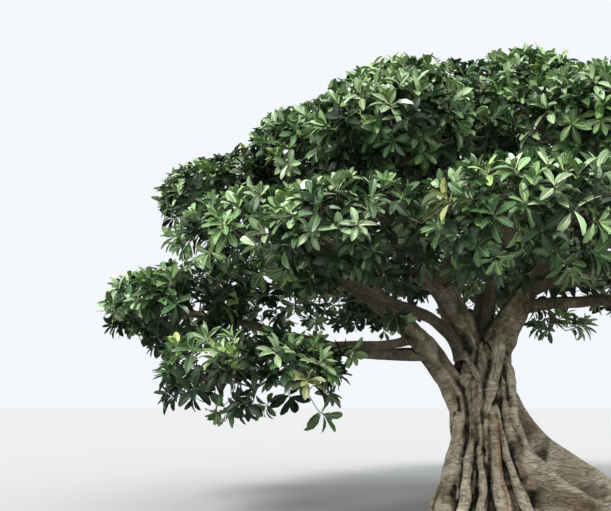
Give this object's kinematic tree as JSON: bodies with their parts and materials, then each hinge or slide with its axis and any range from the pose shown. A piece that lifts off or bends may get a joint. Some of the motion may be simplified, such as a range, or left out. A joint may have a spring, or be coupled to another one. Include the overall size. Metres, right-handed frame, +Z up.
{
  "type": "mysore fig tree",
  "caption": "Broad, low-forking evergreen fig tree with a fluted, buttressed trunk and a wide domed crown of large glossy leaves, rooted in level ground.",
  "frame": {"origin": "middle of the flat cut under the trunk, at ground level", "axes": "+Z up along the trunk, +X to the right of the picture's view, +Y away from its camera"},
  "size_m": [10.4675, 8.787, 6.4948],
  "materials": {
    "bark": "matte",
    "foliage": "satin"
  },
  "bodies": {
    "root": {"trunk": "bark", "bough_back_left": "bark", "bough_back_right": "bark", "bough_far_front": "bark", "bough_front_left": "bark", "bough_front_mid": "bark", "bough_front_right": "bark", "bough_inner_left": "bark", "bough_left_drop": "bark", "bough_left_end": "bark", "bough_left_hang": "bark", "bough_left_mid": "bark", "bough_left_shoulder": "bark", "bough_right_back": "bark", "bough_right_end": "bark", "bough_right_shoulder": "bark", "bough_right_spur": "bark", "bough_top_left": "bark", "bough_top_mid": "bark", "bough_top_right": "bark", "bough_upper_back_left": "bark", "bough_upper_back_right": "bark", "bough_upper_front_left": "bark", "bough_upper_front_right": "bark", "bough_upper_left": "bark", "leaves_back_left": "foliage", "leaves_back_right": "foliage", "leaves_far_front": "foliage", "leaves_front_left": "foliage", "leaves_front_mid": "foliage", "leaves_front_right": "foliage", "leaves_inner_left": "foliage", "leaves_left_drop": "foliage", "leaves_left_end": "foliage", "leaves_left_hang": "foliage", "leaves_left_mid": "foliage", "leaves_left_shoulder": "foliage", "leaves_right_back": "foliage", "leaves_right_end": "foliage", "leaves_right_shoulder": "foliage", "leaves_right_spur": "foliage", "leaves_top_left": "foliage", "leaves_top_mid": "foliage", "leaves_top_right": "foliage", "leaves_upper_back_left": "foliage", "leaves_upper_back_right": "foliage", "leaves_upper_front_left": "foliage", "leaves_upper_front_right": "foliage", "leaves_upper_left": "foliage"}
  },
  "joints": []
}
